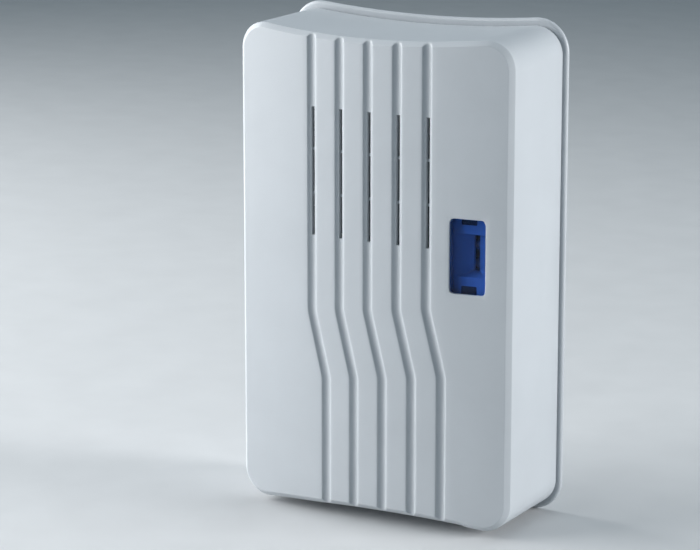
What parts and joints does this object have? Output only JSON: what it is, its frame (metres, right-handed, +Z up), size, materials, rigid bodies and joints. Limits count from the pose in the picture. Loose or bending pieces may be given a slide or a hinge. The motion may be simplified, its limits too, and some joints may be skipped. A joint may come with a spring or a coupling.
{
  "type": "doorbell chime box",
  "caption": "Wall-hung wireless doorbell chime with a ribbed bowed front, sound slots, blue lamp window and a hinged battery door at the back.",
  "frame": {"origin": "middle of the base of the bounding box, level with the two lower corners of the wall plate's rim", "axes": "+Z up, +X to the right as seen from the front, the ribbed front looks towards -Y and the wall face towards +Y"},
  "size_m": [0.0866, 0.0357, 0.14],
  "materials": {
    "housing_plastic": "fine moulded texture, cool white ABS",
    "cover_plastic": "satin moulded ABS, cool white",
    "lens_blue": "clear deep blue acrylic, polished",
    "light_box_plastic": "satin moulded ABS",
    "lamp_clear": "water-clear epoxy",
    "foam_black": "closed-cell foam",
    "basket_steel": "black-coated pressed steel",
    "plated_steel": "bright zinc plate",
    "ferrite": "sintered ferrite, matt dark grey",
    "copper_wire": "enamelled copper",
    "cone_paper": "pressed paper, black",
    "surround_rubber": "soft rubber",
    "cell_jacket": "plain dark grey shrink jacket, satin",
    "nickel": "nickel-plated spring steel",
    "board_green": "green solder mask on glass laminate",
    "shield_tin": "tinned steel",
    "chip_black": "moulded black resin",
    "capacitor_sleeve": "dark shrink sleeve",
    "socket_white": "ivory nylon",
    "key_plastic": "grey moulded ABS"
  },
  "bodies": {
    "housing": {"front_housing": "housing_plastic", "rear_cover": "cover_plastic", "window_lens": "lens_blue", "light_box": "light_box_plastic", "window_lamps": "lamp_clear", "speaker_gasket": "foam_black", "speaker_basket": "basket_steel", "speaker_top_plate": "plated_steel", "speaker_magnet": "ferrite", "speaker_yoke": "plated_steel", "speaker_surround": "surround_rubber", "case_screws": "plated_steel", "board_screws": "plated_steel", "speaker_washers": "plated_steel", "speaker_screws": "plated_steel", "cell_left": "cell_jacket", "cell_middle": "cell_jacket", "cell_right": "cell_jacket", "contact_plates": "nickel", "contact_springs": "nickel", "circuit_board": "board_green", "radio_receiver": "shield_tin", "melody_chip": "chip_black", "capacitor": "capacitor_sleeve", "crystal": "shield_tin", "antenna": "copper_wire", "speaker_socket": "socket_white", "battery_socket": "socket_white", "tact_switch": "chip_black", "slide_switch": "shield_tin"},
    "battery_door": {"battery_door": "cover_plastic"},
    "melody_key": {"melody_key": "key_plastic", "tact_plunger": "key_plastic"},
    "volume_knob": {"volume_knob": "key_plastic", "slide_lever": "chip_black"},
    "speaker_cone": {"speaker_cone": "cone_paper", "dust_cap": "cone_paper", "voice_coil": "copper_wire"}
  },
  "joints": [
    {"name": "door_hinge", "type": "hinge", "parent": "housing", "child": "battery_door", "pos_m": [0, 0.01635, 0.011], "axis": [-1, 0, 0], "range_deg": [0, 95]},
    {"name": "melody_press", "type": "slide", "parent": "housing", "child": "melody_key", "axis": [0, -1, 0], "range_m": [0, 0.0005], "stiffness_N_per_m": 400, "springref_m": -0.0005},
    {"name": "volume_slide", "type": "slide", "parent": "housing", "child": "volume_knob", "axis": [1, 0, 0], "range_m": [-0.002, 0.002]},
    {"name": "cone_travel", "type": "slide", "parent": "housing", "child": "speaker_cone", "axis": [0, -1, 0], "range_m": [-0.0004, 0.0004], "stiffness_N_per_m": 600, "deforming": ["speaker_surround"]}
  ]
}
